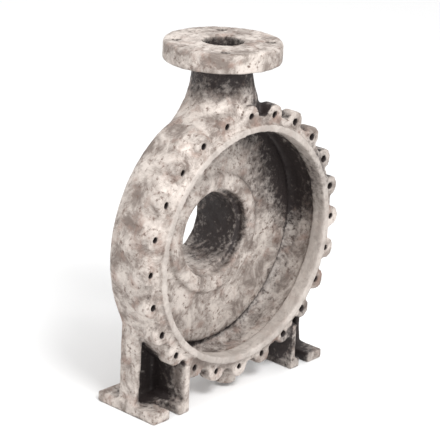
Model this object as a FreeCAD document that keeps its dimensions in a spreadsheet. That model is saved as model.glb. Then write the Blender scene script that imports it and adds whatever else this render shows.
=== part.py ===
import FreeCAD, Part
import math
import os
import Sketcher
from FreeCAD import Placement, Rotation, Vector

# Volute pump casing: one grey iron casting with a scroll, an upright discharge neck,
# an open cover side at Y = 0, a suction nozzle along +Y and two ribbed feet.
# The shaft axis is the Y axis. The origin lies where it crosses the machined cover face.

doc = FreeCAD.newDocument("volute_casing")
sheet = doc.addObject("Spreadsheet::Sheet", "driving")

DRIVING_SIZES = [
    # open cover side
    ("cover_bore_radius", 182.0),
    ("cover_face_width", 12.0),
    ("cover_face_height", 8.0),
    ("stud_flange_radius", 206.0),
    ("stud_flange_back", 34.0),
    ("stud_circle_radius", 208.0),
    ("stud_lug_radius", 17.0),
    ("stud_hole_radius", 5.1),
    ("stud_hole_depth", 16.0),
    ("stud_count", 24),
    # scroll, measured on its outside
    ("scroll_start_radius", 200.0),
    ("scroll_growth", 33.0),
    ("scroll_root_radius", 120.0),
    ("channel_root_radius", 140.0),
    ("scroll_front", 12.0),
    ("scroll_back", 103.0),
    ("scroll_front_round", 28.0),
    ("scroll_back_round", 34.0),
    ("side_wall", 11.0),
    ("front_wall", 16.0),
    ("rim_wall", 11.0),
    ("scroll_end_radius", 212.0),
    ("scroll_end_inset", 7.0),
    # body disc behind the chamber
    ("body_radius", 160.0),
    ("body_front", 14.0),
    ("body_back", 104.5),
    ("dish_radius", 183.0),
    ("dish_face", 80.0),
    ("dish_overlap", 2.5),
    # eye and suction nozzle
    ("eye_ring_radius", 98.0),
    ("eye_ring_face", 73.0),
    ("eye_ring_round", 4.0),
    ("wear_seat_radius", 72.0),
    ("wear_seat_depth", 16.0),
    ("suction_bore_radius", 64.0),
    ("suction_neck_radius", 84.0),
    ("suction_root_radius", 112.0),
    ("suction_root_length", 26.0),
    ("suction_face", 177.0),
    ("suction_flange_radius", 125.0),
    ("suction_flange_width", 24.0),
    ("suction_bolt_circle_radius", 105.0),
    ("suction_bolt_hole_radius", 9.0),
    ("suction_bolt_count", 8),
    # discharge neck and flange
    ("discharge_height", 315.0),
    ("discharge_offset", 74.5),
    ("discharge_bore_radius", 32.0),
    ("discharge_neck_radius", 47.0),
    ("bore_allowance", 1.0),
    ("discharge_flange_radius", 92.5),
    ("discharge_flange_width", 31.0),
    ("discharge_bolt_circle_radius", 72.5),
    ("discharge_bolt_hole_radius", 9.0),
    ("discharge_bolt_count", 4),
    ("flange_edge_round", 3.0),
    # outside of the neck at four levels: height, side shift, half width and half depth
    ("neck_wall", 13.5),
    ("neck_root_height", 120.0),
    ("neck_root_shift", -94.0),
    ("neck_root_half_width", 93.0),
    ("neck_root_half_depth", 44.0),
    ("neck_low_height", 170.0),
    ("neck_low_shift", -44.0),
    ("neck_low_half_width", 102.0),
    ("neck_low_half_depth", 46.0),
    ("neck_shoulder_height", 202.0),
    ("neck_shoulder_shift", -18.0),
    ("neck_shoulder_half_width", 84.0),
    ("neck_shoulder_half_depth", 48.0),
    ("neck_waist_height", 230.0),
    ("neck_waist_shift", -2.0),
    ("neck_waist_half_width", 58.0),
    ("neck_waist_half_depth", 52.0),
    # feet and legs
    ("axis_height", 248.0),
    ("foot_half_width", 198.0),
    ("foot_width", 77.0),
    ("foot_front", 2.0),
    ("foot_back", 128.0),
    ("foot_thickness", 17.0),
    ("foot_slot_width", 20.0),
    ("foot_slot_length", 38.0),
    ("foot_slot_inset", 22.0),
    ("leg_front", 48.0),
    ("leg_back", 86.0),
    ("leg_plate", 10.0),
    ("leg_top", 62.0),
    ("leg_web_top", 150.0),
    ("leg_lean", 4.0),
    ("inner_rib_top", 168.0),
    # drain boss at the lowest point
    ("drain_boss_radius", 18.0),
    ("drain_boss_drop", 242.0),
    ("drain_boss_place", 40.0),
    ("drain_hole_radius", 9.3),
]
for row, (alias, value) in enumerate(DRIVING_SIZES, start=1):
    sheet.set("A%d" % row, alias)
    sheet.set("B%d" % row, str(value))
    sheet.setAlias("B%d" % row, alias)
doc.recompute()

ALONG_Y = Rotation(Vector(1, 0, 0), -90)
FULL_TURN = 360
TONGUE_ANGLE = 60                      # start of the scroll, degrees above +X
SCROLL_STEP = 30                       # degrees between two sections of the scroll
SCROLL_TURN = 330                      # degrees from its first section to its last
TONGUE_COVER_TURN = 45                 # degrees that the even stretch covers past the tongue
CUT_MARGIN = 2                         # a cutting tool runs this far past a face
NECK_LEVELS = (("root", 0), ("low", 0), ("shoulder", 0.4), ("waist", 0.8))
FAR_RIM = 1                            # edge numbers of the two rims of a cylinder
NEAR_RIM = 3
FOOT_TOE = 3.0                         # ledge of the pad outside the leg


def size(alias):
    return float(sheet.get(alias))


def place(item, x="0", y="0", z="0"):
    for axis, expression in (("x", x), ("y", y), ("z", z)):
        item.setExpression(".Placement.Base." + axis, expression)
    return item


def drum(name, radius, length, x="0", y="0", z="0", turn=Rotation()):
    """A cylinder that stands on its place, or lies along the axis that turn gives."""
    item = doc.addObject("Part::Cylinder", name)
    item.setExpression("Radius", radius)
    item.setExpression("Height", length)
    item.Placement = Placement(Vector(), turn)
    return place(item, x, y, z)


def block(name, length, width, height, x, y, z):
    item = doc.addObject("Part::Box", name)
    item.setExpression("Length", length)
    item.setExpression("Width", width)
    item.setExpression("Height", height)
    return place(item, x, y, z)


def fused(name, shapes):
    item = doc.addObject("Part::MultiFuse", name)
    item.Shapes = shapes
    return item


def cut(name, base, tool):
    item = doc.addObject("Part::Cut", name)
    item.Base = base
    item.Tool = tool
    return item


def lofted(name, sections):
    item = doc.addObject("Part::Loft", name)
    item.Sections = sections
    item.Solid = True
    return item


def around(count, start=0.0):
    """Angles in degrees of count equal places round a circle."""
    return [start + FULL_TURN * k / count for k in range(int(count))]


def pinned(sketch, kind, geometry, point, value, expression):
    """A distance from the sketch's origin that the sheet drives."""
    number = sketch.addConstraint(Sketcher.Constraint(kind, -1, 1, geometry, point, value))
    sketch.setExpression("Constraints[%d]" % number, expression)


def sized(sketch, kind, geometry, value, expression):
    number = sketch.addConstraint(Sketcher.Constraint(kind, geometry, value))
    sketch.setExpression("Constraints[%d]" % number, expression)


def scroll_section(name, angle, root, outer, front, back, front_round, back_round):
    """Half-round section in a plane through the shaft axis.

    Each size is a pair: its value, for the first drawing, and its expression.
    """
    sketch = doc.addObject("Sketcher::SketchObject", name)
    swing = math.radians(angle)
    radial = Vector(math.cos(swing), 0, math.sin(swing))
    axial = Vector(0, 1, 0)
    sketch.Placement = Placement(Vector(), Rotation(radial, axial, radial.cross(axial), "ZXY"))
    near, far = front[0], back[0]
    front_corner = outer[0] - front_round[0]
    back_corner = outer[0] - back_round[0]
    corners = [
        Part.LineSegment(Vector(root[0], near), Vector(front_corner, near)),
        Part.ArcOfCircle(
            Part.Circle(Vector(front_corner, near + front_round[0]), Vector(0, 0, 1), front_round[0]),
            -math.pi / 2, 0),
        Part.LineSegment(Vector(outer[0], near + front_round[0]), Vector(outer[0], far - back_round[0])),
        Part.ArcOfCircle(
            Part.Circle(Vector(back_corner, far - back_round[0]), Vector(0, 0, 1), back_round[0]),
            0, math.pi / 2),
        Part.LineSegment(Vector(back_corner, far), Vector(root[0], far)),
        Part.LineSegment(Vector(root[0], far), Vector(root[0], near)),
    ]
    front_line, front_arc, outer_line, back_arc, back_line, root_line = [
        sketch.addGeometry(edge, False) for edge in corners]
    for first, second in ((front_line, front_arc), (front_arc, outer_line),
                          (outer_line, back_arc), (back_arc, back_line)):
        sketch.addConstraint(Sketcher.Constraint("Tangent", first, 2, second, 1))
    for first, second in ((back_line, root_line), (root_line, front_line)):
        sketch.addConstraint(Sketcher.Constraint("Coincident", first, 2, second, 1))
    for edge in (front_line, back_line):
        sketch.addConstraint(Sketcher.Constraint("Horizontal", edge))
    for edge in (outer_line, root_line):
        sketch.addConstraint(Sketcher.Constraint("Vertical", edge))
    pinned(sketch, "DistanceX", outer_line, 1, *outer)
    pinned(sketch, "DistanceX", front_line, 1, *root)
    pinned(sketch, "DistanceY", front_line, 1, *front)
    pinned(sketch, "DistanceY", back_line, 2, *back)
    sized(sketch, "Radius", front_arc, *front_round)
    sized(sketch, "Radius", back_arc, *back_round)
    return sketch


def scroll(name, root, shrink, front, back, front_round, back_round, end_wall):
    """Lofts the sections round the shaft; the outer radius grows clockwise from the front.

    The last section draws in, so that the neck covers the end of the scroll.
    """
    sections = []
    for turn in range(0, SCROLL_TURN, SCROLL_STEP):
        radius = size("scroll_start_radius") + size("scroll_growth") * turn / FULL_TURN - shrink[0]
        text = "driving.scroll_start_radius + driving.scroll_growth * %d / %d - %s" % (
            turn, FULL_TURN, shrink[1])
        sections.append(scroll_section(
            "%s_%03d" % (name, turn), TONGUE_ANGLE - turn, root, (radius, text),
            front, back, front_round, back_round))
    inset = size("scroll_end_inset") * end_wall
    end_radius = (size("scroll_end_radius") - shrink[0], "driving.scroll_end_radius - " + shrink[1])
    end_front = (front[0] + inset, "%s + driving.scroll_end_inset * %d" % (front[1], end_wall))
    end_back = (back[0] - inset, "%s - driving.scroll_end_inset * %d" % (back[1], end_wall))
    sections.append(scroll_section(
        "%s_end" % name, TONGUE_ANGLE - SCROLL_TURN, root, end_radius,
        end_front, end_back, front_round, back_round))
    return lofted(name, sections)


def scroll_shell():
    """The outside of the scroll, with a short even stretch that closes it behind the tongue."""
    front = (size("scroll_front"), "driving.scroll_front")
    back = (size("scroll_back"), "driving.scroll_back")
    front_round = (size("scroll_front_round"), "driving.scroll_front_round")
    back_round = (size("scroll_back_round"), "driving.scroll_back_round")
    root = (size("scroll_root_radius"), "driving.scroll_root_radius")
    shell = scroll("scroll_shell", root, (0.0, "0"), front, back, front_round, back_round, 1)
    start = (size("scroll_start_radius"), "driving.scroll_start_radius")
    closing = doc.addObject("Part::Revolution", "tongue_cover")
    closing.Source = scroll_section(
        "tongue_section", TONGUE_ANGLE, root, start, front, back, front_round, back_round)
    closing.Axis = Vector(0, -1, 0)
    closing.Angle = TONGUE_COVER_TURN
    closing.Solid = True
    return [shell, closing]


def channel():
    """The water way inside the scroll, one wall in from its outside."""
    return scroll(
        "channel_void",
        (size("channel_root_radius"), "driving.channel_root_radius"),
        (size("rim_wall"), "driving.rim_wall"),
        (size("scroll_front") + size("front_wall"), "driving.scroll_front + driving.front_wall"),
        (size("scroll_back") - size("side_wall"), "driving.scroll_back - driving.side_wall"),
        (size("scroll_front_round") - size("front_wall"),
         "driving.scroll_front_round - driving.front_wall"),
        (size("scroll_back_round") - size("rim_wall"),
         "driving.scroll_back_round - driving.rim_wall"), 0)


def neck(name, wall):
    """Lofts ellipses from deep in the scroll up to the discharge flange."""
    middle = "(driving.scroll_front + driving.scroll_back) / 2"
    top = "driving.discharge_height - driving.discharge_flange_width"
    sections = []
    for level, share in NECK_LEVELS:
        stem = "driving.neck_%s_" % level
        sections.append((
            level, stem + "shift", "%s + (driving.discharge_offset - %s) * %s" % (middle, middle, share),
            stem + "height", stem + "half_width - " + wall, stem + "half_depth - " + wall))
    offset = "driving.discharge_offset"
    if wall == "0":
        sections.append(("collar", "0", offset, top + " - driving.discharge_flange_width / 2",
                         "driving.discharge_neck_radius", "driving.discharge_neck_radius"))
        sections.append(("top", "0", offset, top + " + " + str(CUT_MARGIN),
                         "driving.discharge_neck_radius", "driving.discharge_neck_radius"))
    else:
        passage = "driving.discharge_bore_radius - driving.bore_allowance"
        sections.append(("collar", "0", offset, top + " - driving.discharge_flange_width / 2",
                         passage, passage))
        sections.append(("top", "0", offset, top + " + " + str(CUT_MARGIN), passage, passage))
    rings = []
    for level, x, y, z, half_width, half_depth in sections:
        ring = doc.addObject("Part::Ellipse", "%s_%s" % (name, level))
        ring.setExpression("MajorRadius", half_width)
        ring.setExpression("MinorRadius", half_depth)
        rings.append(place(ring, x, y, z))
    return lofted(name, rings)


def polar(radius, angle):
    """Expressions for a point on a circle round an axis, for the sheet's radius."""
    return "%s * cos(%s)" % (radius, angle), "%s * sin(%s)" % (radius, angle)


def rounded(name, base, radius, rims):
    """Rounds the named rims of a cylinder."""
    item = doc.addObject("Part::Fillet", name)
    item.Base = base
    item.Edges = [(number, radius, radius) for number in rims]
    return item


def cover_side():
    """Raised joint face, the stud flange behind it and the lugs round its edge."""
    seat = drum("cover_face", "driving.cover_bore_radius + driving.cover_face_width",
                "driving.stud_flange_back", turn=ALONG_Y)
    flange = drum("stud_flange", "driving.stud_flange_radius",
                  "driving.stud_flange_back - driving.cover_face_height",
                  y="driving.cover_face_height", turn=ALONG_Y)
    lugs = []
    for k, angle in enumerate(around(size("stud_count"))):
        x, z = polar("driving.stud_circle_radius", angle)
        lugs.append(drum("stud_lug_%02d" % k, "driving.stud_lug_radius",
                         "driving.stud_flange_back - driving.cover_face_height",
                         x, "driving.cover_face_height", z, ALONG_Y))
    return [seat, flange] + lugs


def stud_holes():
    holes = []
    for k, angle in enumerate(around(size("stud_count"))):
        x, z = polar("driving.stud_circle_radius", angle)
        holes.append(drum("stud_hole_%02d" % k, "driving.stud_hole_radius",
                          "driving.stud_hole_depth + %d" % CUT_MARGIN,
                          x, "driving.cover_face_height - %d" % CUT_MARGIN, z, ALONG_Y))
    return holes


def suction_nozzle():
    root = doc.addObject("Part::Cone", "suction_root")
    root.setExpression("Radius1", "driving.suction_root_radius")
    root.setExpression("Radius2", "driving.suction_neck_radius")
    root.setExpression("Height", "driving.suction_root_length")
    root.Placement = Placement(Vector(), ALONG_Y)
    place(root, y="driving.body_back - %d" % CUT_MARGIN)
    pipe = drum("suction_neck", "driving.suction_neck_radius",
                "driving.suction_face - driving.body_back", y="driving.body_back", turn=ALONG_Y)
    disc = drum("suction_disc", "driving.suction_flange_radius", "driving.suction_flange_width",
                y="driving.suction_face - driving.suction_flange_width", turn=ALONG_Y)
    return [root, pipe, rounded("suction_flange", disc, size("flange_edge_round"), (NEAR_RIM, FAR_RIM))]


def suction_bolt_holes():
    holes = []
    half_pitch = FULL_TURN / size("suction_bolt_count") / 2
    for k, angle in enumerate(around(size("suction_bolt_count"), half_pitch)):
        x, z = polar("driving.suction_bolt_circle_radius", angle)
        holes.append(drum(
            "suction_bolt_hole_%d" % k, "driving.suction_bolt_hole_radius",
            "driving.suction_flange_width + %d" % (2 * CUT_MARGIN), x,
            "driving.suction_face - driving.suction_flange_width - %d" % CUT_MARGIN, z, ALONG_Y))
    return holes


def discharge_flange():
    disc = drum("discharge_disc", "driving.discharge_flange_radius", "driving.discharge_flange_width",
                y="driving.discharge_offset",
                z="driving.discharge_height - driving.discharge_flange_width")
    return rounded("discharge_flange", disc, size("flange_edge_round"), (NEAR_RIM, FAR_RIM))


def discharge_bolt_holes():
    holes = []
    half_pitch = FULL_TURN / size("discharge_bolt_count") / 2
    for k, angle in enumerate(around(size("discharge_bolt_count"), half_pitch)):
        x, y = polar("driving.discharge_bolt_circle_radius", angle)
        holes.append(drum(
            "discharge_bolt_hole_%d" % k, "driving.discharge_bolt_hole_radius",
            "driving.discharge_flange_width + %d" % (2 * CUT_MARGIN), x,
            "driving.discharge_offset + " + y,
            "driving.discharge_height - driving.discharge_flange_width - %d" % CUT_MARGIN))
    return holes


def leg_outline(side, name):
    """Front outline of the leaning outer plate of a leg, from the pad up into the scroll."""
    sketch = doc.addObject("Sketcher::SketchObject", name + "_outline")
    sketch.Placement = Placement(Vector(), Rotation(Vector(1, 0, 0), 90))
    low = size("axis_height") - size("foot_thickness") / 2
    foot = size("foot_half_width") - FOOT_TOE
    head = foot - size("leg_lean")
    corners = [
        (foot, -low, "driving.foot_half_width - %g" % FOOT_TOE,
         "driving.axis_height - driving.foot_thickness / 2"),
        (head, -size("leg_top"), "driving.foot_half_width - %g - driving.leg_lean" % FOOT_TOE,
         "driving.leg_top"),
        (head - size("leg_plate"), -size("leg_top"),
         "driving.foot_half_width - %g - driving.leg_lean - driving.leg_plate" % FOOT_TOE,
         "driving.leg_top"),
        (foot - size("leg_plate"), -low,
         "driving.foot_half_width - %g - driving.leg_plate" % FOOT_TOE,
         "driving.axis_height - driving.foot_thickness / 2"),
    ]
    points = [Vector(side * corner[0], corner[1]) for corner in corners]
    for first, second in zip(points, points[1:] + points[:1]):
        sketch.addGeometry(Part.LineSegment(first, second), False)
    for edge in range(len(points)):
        sketch.addConstraint(Sketcher.Constraint("Coincident", edge, 2, (edge + 1) % len(points), 1))
    for edge, corner in enumerate(corners):
        if side > 0:
            number = sketch.addConstraint(
                Sketcher.Constraint("DistanceX", -1, 1, edge, 1, corner[0]))
        else:
            number = sketch.addConstraint(
                Sketcher.Constraint("DistanceX", edge, 1, -1, 1, corner[0]))
        sketch.setExpression("Constraints[%d]" % number, corner[2])
        number = sketch.addConstraint(Sketcher.Constraint("DistanceY", edge, 1, -1, 1, -corner[1]))
        sketch.setExpression("Constraints[%d]" % number, corner[3])
    return sketch


def leg(side, name):
    """A foot pad with a leaning outer plate, a back web and an inner rib."""
    near = "driving.foot_half_width - driving.foot_width"
    pad_x = near if side > 0 else "-driving.foot_half_width"
    pad = block(name + "_pad", "driving.foot_width", "driving.foot_back - driving.foot_front",
                "driving.foot_thickness", pad_x, "driving.foot_front", "-driving.axis_height")
    outer = doc.addObject("Part::Extrusion", name + "_outer_plate")
    outer.Base = leg_outline(side, name)
    outer.DirMode = "Custom"
    outer.Dir = Vector(0, 1, 0)
    outer.setExpression("LengthFwd", "driving.leg_back - driving.leg_front")
    outer.Solid = True
    place(outer, y="driving.leg_front")
    web_width = "driving.foot_width - %g - driving.leg_lean - driving.leg_plate / 2" % FOOT_TOE
    web_x = near if side > 0 else "-(%s) - (%s)" % (near, web_width)
    web = block(name + "_web", web_width, "driving.leg_plate",
                "driving.axis_height - driving.foot_thickness / 2 - driving.leg_web_top", web_x,
                "driving.leg_back - driving.leg_plate", "driving.foot_thickness / 2 - driving.axis_height")
    rib_x = near if side > 0 else "-(%s) - driving.leg_plate" % near
    rib = block(name + "_inner_rib", "driving.leg_plate", "driving.leg_back - driving.foot_front",
                "driving.axis_height - driving.inner_rib_top", rib_x, "driving.foot_front",
                "-driving.axis_height")
    return [pad, outer, web, rib]


def foot_slot(side, name):
    """Open-ended slot for the foundation bolt, cut from the front of the pad."""
    centre = "driving.foot_half_width - driving.foot_width + driving.leg_plate + driving.foot_slot_inset"
    if side < 0:
        centre = "-(%s)" % centre
    deep = "driving.foot_thickness + %d" % (2 * CUT_MARGIN)
    low = "-driving.axis_height - %d" % CUT_MARGIN
    mouth = block(name + "_slot", "driving.foot_slot_width",
                  "driving.foot_slot_length - driving.foot_slot_width / 2 + %d" % CUT_MARGIN, deep,
                  centre + " - driving.foot_slot_width / 2", "driving.foot_front - %d" % CUT_MARGIN, low)
    end = drum(name + "_slot_end", "driving.foot_slot_width / 2", deep, centre,
               "driving.foot_front + driving.foot_slot_length - driving.foot_slot_width / 2", low)
    return [mouth, end]


def build_casing():
    drain = drum("drain_boss", "driving.drain_boss_radius",
                 "driving.drain_boss_drop - driving.body_radius", y="driving.drain_boss_place",
                 z="-driving.drain_boss_drop")
    body = drum("body_disc", "driving.body_radius", "driving.body_back - driving.body_front",
                y="driving.body_front", turn=ALONG_Y)
    solid = fused("outside", scroll_shell() + [body, neck("neck_outside", "0"), discharge_flange(), drain]
                  + cover_side() + suction_nozzle() + leg(-1, "left_leg") + leg(1, "right_leg"))
    register = drum("cover_bore", "driving.cover_bore_radius", "driving.dish_face + %d" % CUT_MARGIN,
                    y="-%d" % CUT_MARGIN, turn=ALONG_Y)
    chamber = drum("chamber", "driving.dish_radius + driving.dish_overlap",
                   "driving.dish_face - driving.scroll_front - driving.front_wall",
                   y="driving.scroll_front + driving.front_wall", turn=ALONG_Y)
    water_way = fused("water_way", [channel(), neck("neck_passage", "driving.neck_wall")])
    dish = drum("dish_disc", "driving.dish_radius", "driving.body_back - driving.dish_face",
                y="driving.dish_face", turn=ALONG_Y)
    ring = drum("eye_disc", "driving.eye_ring_radius",
                "driving.body_back - driving.eye_ring_face", y="driving.eye_ring_face", turn=ALONG_Y)
    eye_ring = rounded("eye_ring", ring, size("eye_ring_round"), (NEAR_RIM,))
    hollow = cut("hollow", fused("water_space", [register, chamber, cut("beside_dish", water_way, dish)]),
                 eye_ring)
    cast = cut("cast", solid, hollow)
    wear_seat = drum("wear_seat", "driving.wear_seat_radius",
                     "driving.wear_seat_depth + %d" % CUT_MARGIN,
                     y="driving.eye_ring_face - %d" % CUT_MARGIN, turn=ALONG_Y)
    suction_bore = drum("suction_bore", "driving.suction_bore_radius",
                        "driving.suction_face - driving.eye_ring_face + %d" % (2 * CUT_MARGIN),
                        y="driving.eye_ring_face - %d" % CUT_MARGIN, turn=ALONG_Y)
    discharge_bore = drum("discharge_bore", "driving.discharge_bore_radius",
                          "driving.discharge_flange_width + %d" % (2 * CUT_MARGIN),
                          y="driving.discharge_offset",
                          z="driving.discharge_height - driving.discharge_flange_width - %d" % CUT_MARGIN)
    drain_hole = drum("drain_hole", "driving.drain_hole_radius",
                      "driving.drain_boss_drop - driving.body_radius + %d" % CUT_MARGIN,
                      y="driving.drain_boss_place", z="-driving.drain_boss_drop - %d" % CUT_MARGIN)
    machining = fused("machining", [wear_seat, suction_bore, discharge_bore, drain_hole]
                      + stud_holes() + suction_bolt_holes() + discharge_bolt_holes()
                      + foot_slot(-1, "left_foot") + foot_slot(1, "right_foot"))
    casing = cut("casing", cast, machining)
    casing.Label = "volute_casing"
    return casing


casing = build_casing()
doc.recompute()
failed = [item.Name for item in doc.Objects if "Invalid" in item.State or "Error" in item.State]
if failed:
    raise RuntimeError("these objects failed: " + ", ".join(failed))
if casing.Shape.isNull() or not casing.Shape.isValid() or len(casing.Shape.Solids) != 1:
    raise RuntimeError("the casing isn't one valid solid")
os.makedirs("parts", exist_ok=True)
casing.Shape.exportStep(os.path.join("parts", casing.Label + ".step"))
box = casing.Shape.optimalBoundingBox()
print("volume %.0f mm3, faces %d" % (casing.Shape.Volume, len(casing.Shape.Faces)))
print("box %.1f %.1f %.1f to %.1f %.1f %.1f" % (
    box.XMin, box.YMin, box.ZMin, box.XMax, box.YMax, box.ZMax))
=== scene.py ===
import math

import bpy
from mathutils import Matrix, Vector
from mathutils.bvhtree import BVHTree


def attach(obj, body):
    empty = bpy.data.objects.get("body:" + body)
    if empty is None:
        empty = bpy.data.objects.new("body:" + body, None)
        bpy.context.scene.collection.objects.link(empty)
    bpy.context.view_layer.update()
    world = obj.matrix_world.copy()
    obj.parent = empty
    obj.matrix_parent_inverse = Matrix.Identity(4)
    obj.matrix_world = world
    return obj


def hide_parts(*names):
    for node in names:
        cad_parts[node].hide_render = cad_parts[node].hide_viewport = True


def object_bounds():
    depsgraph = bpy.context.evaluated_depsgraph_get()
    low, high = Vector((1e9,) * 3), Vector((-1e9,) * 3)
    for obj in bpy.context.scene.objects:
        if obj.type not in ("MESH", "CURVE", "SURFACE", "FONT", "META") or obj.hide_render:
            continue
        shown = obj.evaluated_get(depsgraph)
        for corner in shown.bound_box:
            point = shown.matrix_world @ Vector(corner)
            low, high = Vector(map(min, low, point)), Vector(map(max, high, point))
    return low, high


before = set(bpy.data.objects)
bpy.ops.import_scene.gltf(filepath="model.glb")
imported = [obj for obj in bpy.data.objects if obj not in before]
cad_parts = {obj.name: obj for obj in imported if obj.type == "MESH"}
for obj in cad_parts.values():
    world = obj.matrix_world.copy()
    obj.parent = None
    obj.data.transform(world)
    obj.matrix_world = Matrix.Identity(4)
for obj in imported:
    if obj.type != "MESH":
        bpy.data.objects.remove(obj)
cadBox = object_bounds()
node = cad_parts["volute_casing"]
print("casing loaded")


def activate(item):
    bpy.ops.object.select_all(action="DESELECT")
    item.select_set(True)
    bpy.context.view_layer.objects.active = item


# lengths are in metres, angles in degrees
casting = {
    "weld": 0.00001,          # corners closer than this become one
    "voxel": 0.0027,          # grain of the cast skin
    "smoothShare": 0.5,
    "smoothRounds": 4,        # softens edges to cast radii
    "lumpDepth": 0.0016,      # how far the sand pulls the skin in and out
    "lumpSize": 0.012,
    "lumpDetail": 3,
}


def pourCasting():
    activate(node)
    bpy.ops.object.duplicate()
    skin = bpy.context.object
    skin.name = "castSkin"
    skin.parent = None
    skin.data = skin.data.copy()
    skin.data.name = "castSkin"
    skin.data.materials.clear()
    activate(skin)
    bpy.ops.object.mode_set(mode="EDIT")
    bpy.ops.mesh.select_all(action="SELECT")
    bpy.ops.mesh.remove_doubles(threshold=casting["weld"])
    bpy.ops.object.mode_set(mode="OBJECT")
    grain = skin.modifiers.new("grain", "REMESH")
    grain.mode = "VOXEL"
    grain.voxel_size = casting["voxel"]
    bpy.ops.object.modifier_apply(modifier="grain")
    soften = skin.modifiers.new("soften", "SMOOTH")
    soften.factor = casting["smoothShare"]
    soften.iterations = casting["smoothRounds"]
    bpy.ops.object.modifier_apply(modifier="soften")
    sand = bpy.data.textures.new("sandLumps", "CLOUDS")
    sand.noise_scale = casting["lumpSize"]
    sand.noise_depth = casting["lumpDetail"]
    lumps = skin.modifiers.new("lumps", "DISPLACE")
    lumps.texture = sand
    lumps.texture_coords = "LOCAL"
    lumps.mid_level = 0.5
    lumps.strength = casting["lumpDepth"]
    bpy.ops.object.modifier_apply(modifier="lumps")
    bpy.ops.object.shade_smooth()
    return skin


castSkin = pourCasting()
print("casting poured:", len(castSkin.data.polygons), "faces")

# rays that measure how shut in each spot of the casting is; markRecesses paints this on as
# shade
recess = {
    "reach": 0.11,            # a ray longer than this counts as open air
    "rays": 28,
    "lift": 0.0006,           # the rays start this far off the skin
}

# painted shade patches, dark where shade falls on the casting: middle, reach, strength,
# and the radius round the shaft inside which none is painted
paintedShadePatches = (
    ((0.000, 0.074, 0.258), 0.072, 0.62, 0.0),     # neck under the flange
    ((0.035, 0.030, 0.222), 0.045, 0.40, 0.0),     # foot of the neck
    ((0.160, 0.065, 0.080), 0.125, 0.44, 0.0),     # far wall of the chamber
    ((0.080, 0.060, 0.165), 0.080, 0.34, 0.0),     # top of the chamber
    ((0.045, 0.130, 0.000), 0.095, 0.62, 0.0),     # suction bore
    ((-0.150, 0.060, -0.200), 0.080, 0.26, 0.208),  # pocket of each foot
    ((0.150, 0.050, -0.200), 0.095, 0.62, 0.208),
    ((-0.215, 0.060, -0.060), 0.100, 0.16, 0.0),   # side of the scroll
)

machined = {
    "seatRadius": 0.182,      # register bore of the cover side
    "seatDepth": 0.026,
    "faceDepth": 0.0022,
    "facing": 0.7,            # how squarely a spot faces along the shaft
    "outerRadius": 0.2,
    "topHeight": 0.22,        # the neck above this stays as cast
}


def spreadDirections(count):
    # even directions over the upper half of a ball, in a spiral
    turn = math.pi * (3 - math.sqrt(5))
    directions = []
    for k in range(count):
        height = 1 - (k + 0.5) / count
        ring = math.sqrt(1 - height * height)
        directions.append(Vector((
            ring * math.cos(turn * k), ring * math.sin(turn * k), height)))
    return directions


def shutIn(tree, vertex, directions):
    # how much of the view out of this spot is closed off by the casting itself; this is
    # painted on as shade
    swing = Vector((0, 0, 1)).rotation_difference(vertex.normal)
    start = vertex.co + vertex.normal * recess["lift"]
    shut = 0.0
    total = 0.0
    for direction in directions:
        weight = direction.z
        total += weight
        hit = tree.ray_cast(start, swing @ direction, recess["reach"])
        if hit[0] is not None:
            shut += weight * (1 - hit[3] / recess["reach"])
    return shut / total


# painted shade from the patches, strongest at each middle
def paintedShadeAt(spot, fromShaft):
    paintedShade = 0.0
    for middle, width, strength, unshadedRadius in paintedShadePatches:
        away = (spot - Vector(middle)).length / width
        if away < 1 and fromShaft > unshadedRadius:
            paintedShade = max(paintedShade, strength * (1 - away * away))
    return paintedShade


def isMachined(vertex, fromShaft):
    spot = vertex.co
    onFace = (spot.y < machined["faceDepth"]
              and abs(vertex.normal.y) > machined["facing"])
    onSeat = (abs(fromShaft - machined["seatRadius"]) < machined["faceDepth"]
              and spot.y < machined["seatDepth"])
    inReach = spot.z < machined["topHeight"] and fromShaft < machined["outerRadius"]
    return inReach and (onFace or onSeat)


def markRecesses(item):
    # red holds painted shade, from the rays and from the shade patches; green the machined
    # spots
    mesh = item.data
    tree = BVHTree.FromPolygons(
        [v.co for v in mesh.vertices], [p.vertices for p in mesh.polygons])
    directions = spreadDirections(recess["rays"])
    marks = []
    for vertex in mesh.vertices:
        fromShaft = math.hypot(vertex.co.x, vertex.co.z)
        dark = shutIn(tree, vertex, directions) + paintedShadeAt(vertex.co, fromShaft)
        clean = 1.0 if isMachined(vertex, fromShaft) else 0.0
        marks.extend((dark, clean, 0.0, 1.0))
    layer = mesh.color_attributes.new("castMarks", "FLOAT_COLOR", "POINT")
    layer.data.foreach_set("color", marks)


markRecesses(castSkin)
print("recesses marked")


def feed(tree, source, target):
    # source is another node's socket, or a plain value
    if isinstance(source, bpy.types.NodeSocket):
        tree.links.new(source, target)
    else:
        target.default_value = source


def addNoise(tree, place, scale, detail, roughness, distortion=0.0):
    noise = tree.nodes.new("ShaderNodeTexNoise")
    noise.inputs["Detail"].default_value = detail
    noise.inputs["Roughness"].default_value = roughness
    noise.inputs["Distortion"].default_value = distortion
    feed(tree, place, noise.inputs["Vector"])
    feed(tree, scale, noise.inputs["Scale"])
    return noise.outputs["Fac"]


def addRange(tree, value, span, result=(0, 1), smooth=False):
    ranged = tree.nodes.new("ShaderNodeMapRange")
    if smooth:
        ranged.interpolation_type = "SMOOTHSTEP"
    ranged.inputs["From Min"].default_value = span[0]
    ranged.inputs["From Max"].default_value = span[1]
    ranged.inputs["To Min"].default_value = result[0]
    ranged.inputs["To Max"].default_value = result[1]
    feed(tree, value, ranged.inputs["Value"])
    return ranged.outputs["Result"]


def addProduct(tree, first, second):
    product = tree.nodes.new("ShaderNodeMath")
    product.operation = "MULTIPLY"
    feed(tree, first, product.inputs[0])
    feed(tree, second, product.inputs[1])
    return product.outputs["Value"]


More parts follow.
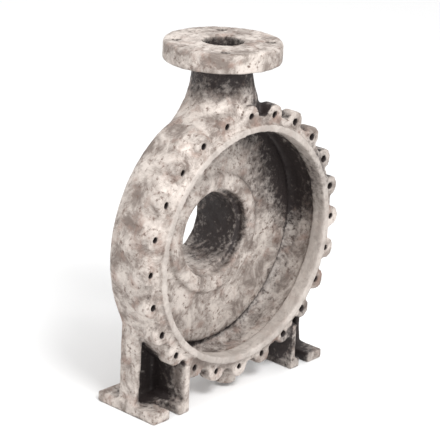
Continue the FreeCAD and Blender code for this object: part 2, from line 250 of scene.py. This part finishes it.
def addMix(tree, share, under, over):
    mix = tree.nodes.new("ShaderNodeMix")
    mix.data_type = "RGBA"
    feed(tree, share, mix.inputs["Factor"])
    feed(tree, under, mix.inputs["A"])
    feed(tree, over, mix.inputs["B"])
    return mix.outputs["Result"]


mottle = {
    "patchDetail": 9,
    "patchRoughness": 0.72,
    "patchDistortion": 0.4,
    "patchSpan": (0.36, 0.62),
    "stainFiner": 1.7,        # rust stains are this much finer than the patches
    "stainDetail": 6,
    "stainRoughness": 0.6,
    "stainSpan": (0.52, 0.72),
    "stainStrength": 0.7,
}


def mottleGroup():
    # patches of pale sand burn, grey iron and brown rust, as one colour
    group = bpy.data.node_groups.new("castMottle", "ShaderNodeTree")
    for name, way, kind in (
        ("Vector", "INPUT", "Vector"),
        ("Scale", "INPUT", "Float"),
        ("Pale", "INPUT", "Color"),
        ("Mid", "INPUT", "Color"),
        ("Rust", "INPUT", "Color"),
        ("Color", "OUTPUT", "Color"),
        ("Patch", "OUTPUT", "Float"),
    ):
        group.interface.new_socket(
            name=name, in_out=way, socket_type="NodeSocket" + kind)
    given = group.nodes.new("NodeGroupInput").outputs
    result = group.nodes.new("NodeGroupOutput").inputs
    patches = addNoise(
        group, given["Vector"], given["Scale"], mottle["patchDetail"],
        mottle["patchRoughness"], mottle["patchDistortion"])
    patch = addRange(group, patches, mottle["patchSpan"], smooth=True)
    greys = addMix(group, patch, given["Mid"], given["Pale"])
    stains = addNoise(
        group, given["Vector"],
        addProduct(group, given["Scale"], mottle["stainFiner"]),
        mottle["stainDetail"], mottle["stainRoughness"])
    stained = addRange(
        group, stains, mottle["stainSpan"], (0, mottle["stainStrength"]))
    rusty = addMix(group, stained, greys, given["Rust"])
    group.links.new(rusty, result["Color"])
    group.links.new(patch, result["Patch"])
    return group


finish = {
    "pale": (0.57, 0.51, 0.465, 1),
    "mid": (0.19, 0.155, 0.135, 1),
    "rust": (0.27, 0.175, 0.14, 1),
    "patchScale": 26,
    "pit": (0.15, 0.105, 0.085, 1),
    "pitScale": 120,
    "pitDetail": 3,
    "pitRoughness": 0.7,
    "pitSpan": (0.45, 0.30),  # falls, so the low spots of the noise are the pits
    "pitDepth": 0.0016,
    "pitStrength": 0.8,
    "bare": (0.46, 0.415, 0.38, 1),
    "bareShare": 0.6,         # how much of the machined metal shows through the stain
    # colour of the painted shade in the recesses and the shade patches
    "paintedShade": (0.022, 0.015, 0.014, 1),
    "paintedShadeSpan": (0.16, 0.62),
    "blotchSpan": (0.3, 0.7),
    "blotch": (1.3, 0.7),     # makes the painted shade uneven, thicker in the pits
    "roughness": (0.82, 0.58),
    "metallic": 0.12,
}


def castIron():
    material = bpy.data.materials.new("castIron")
    material.use_nodes = True
    tree = material.node_tree
    surface = tree.nodes["Principled BSDF"]
    place = tree.nodes.new("ShaderNodeTexCoord").outputs["Object"]
    base = tree.nodes.new("ShaderNodeGroup")
    base.node_tree = mottleGroup()
    tree.links.new(place, base.inputs["Vector"])
    base.inputs["Scale"].default_value = finish["patchScale"]
    base.inputs["Pale"].default_value = finish["pale"]
    base.inputs["Mid"].default_value = finish["mid"]
    base.inputs["Rust"].default_value = finish["rust"]
    # sand pits, dark and scattered
    pits = addNoise(
        tree, place, finish["pitScale"], finish["pitDetail"], finish["pitRoughness"])
    pitted = addMix(
        tree, addRange(tree, pits, finish["pitSpan"]),
        base.outputs["Color"], finish["pit"])
    mark = tree.nodes.new("ShaderNodeAttribute")
    mark.attribute_name = "castMarks"
    marks = tree.nodes.new("ShaderNodeSeparateColor")
    tree.links.new(mark.outputs["Color"], marks.inputs["Color"])
    # the cover face and its seat are bare metal, under some stain
    bareness = addProduct(tree, marks.outputs["Green"], finish["bareShare"])
    turned = addMix(tree, bareness, pitted, finish["bare"])
    # painted shade darkens the recesses and the shade patches, unevenly in the pits
    uneven = addRange(tree, pits, finish["blotchSpan"], finish["blotch"])
    blotched = addProduct(tree, marks.outputs["Red"], uneven)
    paintedShadeShare = addRange(tree, blotched, finish["paintedShadeSpan"], smooth=True)
    withPaintedShade = addMix(tree, paintedShadeShare, turned, finish["paintedShade"])
    tree.links.new(withPaintedShade, surface.inputs["Base Color"])
    rough = addRange(tree, base.outputs["Patch"], (0, 1), finish["roughness"])
    tree.links.new(rough, surface.inputs["Roughness"])
    surface.inputs["Metallic"].default_value = finish["metallic"]
    bump = tree.nodes.new("ShaderNodeBump")
    bump.inputs["Strength"].default_value = finish["pitStrength"]
    bump.inputs["Distance"].default_value = finish["pitDepth"]
    tree.links.new(pits, bump.inputs["Height"])
    tree.links.new(bump.outputs["Normal"], surface.inputs["Normal"])
    return material


castSkin.data.materials.append(castIron())
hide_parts("volute_casing")
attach(castSkin, "root")
print("finishes made")

studio = {
    "cameraPlace": (-2.023, -1.771, 0.985),
    "cameraTurn": -47.778,    # round the upright
    "cameraDip": 19.356,
    "cameraRoll": 2.56,
    "lens": 150.05,
    "sensor": 36,
    "farthest": 50,
    "sky": 1.0,
    "lightsAim": (0, 0.07, 0),
    "floorSize": 14,
    "floorColour": (0.88, 0.88, 0.88, 1),
    "floorRoughness": 0.9,
}

# name, place, power and width
softboxes = (
    ("keyLight", (-0.6, -1.6, 2.0), 56, 0.9),
    ("fillLight", (-2.6, 0.4, 0.9), 3, 1.6),
    ("backLight", (1.2, 2.0, 1.8), 5, 1.2),
)


def aimedMatrix(place, target):
    back = (Vector(place) - Vector(target)).normalized()
    right = Vector((0, 0, 1)).cross(back).normalized()
    up = back.cross(right)
    matrix = Matrix((right, up, back)).transposed().to_4x4()
    matrix.translation = place
    return matrix


def setCamera():
    bpy.ops.object.camera_add()
    camera = bpy.context.object
    camera.name = "studioCamera"
    camera.data.lens = studio["lens"]
    camera.data.sensor_width = studio["sensor"]
    camera.data.clip_end = studio["farthest"]
    turn = math.radians(studio["cameraTurn"])
    dip = math.radians(studio["cameraDip"])
    roll = math.radians(studio["cameraRoll"])
    back = Vector((
        math.sin(turn) * math.cos(dip), -math.cos(turn) * math.cos(dip), math.sin(dip)))
    right = Vector((math.cos(turn), math.sin(turn), 0))
    up = back.cross(right)
    rolledRight = right * math.cos(roll) + up * math.sin(roll)
    rolledUp = up * math.cos(roll) - right * math.sin(roll)
    matrix = Matrix((rolledRight, rolledUp, back)).transposed().to_4x4()
    matrix.translation = studio["cameraPlace"]
    camera.matrix_world = matrix
    bpy.context.scene.camera = camera


def addSoftbox(name, place, power, width):
    bpy.ops.object.light_add(type="AREA")
    lamp = bpy.context.object
    lamp.name = name
    lamp.data.energy = power
    lamp.data.size = width
    lamp.matrix_world = aimedMatrix(place, studio["lightsAim"])


def addFloor():
    lowest = cadBox[0][2]
    bpy.ops.mesh.primitive_plane_add(size=studio["floorSize"], location=(0, 0, lowest))
    floor = bpy.context.object
    floor.name = "studioFloor"
    paint = bpy.data.materials.new("paleFloor")
    paint.use_nodes = True
    surface = paint.node_tree.nodes["Principled BSDF"]
    surface.inputs["Base Color"].default_value = studio["floorColour"]
    surface.inputs["Roughness"].default_value = studio["floorRoughness"]
    floor.data.materials.append(paint)


def setWorld():
    world = bpy.data.worlds.new("studioSky")
    bpy.context.scene.world = world
    world.use_nodes = True
    sky = world.node_tree.nodes["Background"]
    sky.inputs["Color"].default_value = (1, 1, 1, 1)
    sky.inputs["Strength"].default_value = studio["sky"]


setCamera()
setWorld()
addFloor()
for softbox in softboxes:
    addSoftbox(*softbox)
bpy.context.scene.view_settings.view_transform = "Standard"
print("studio set")
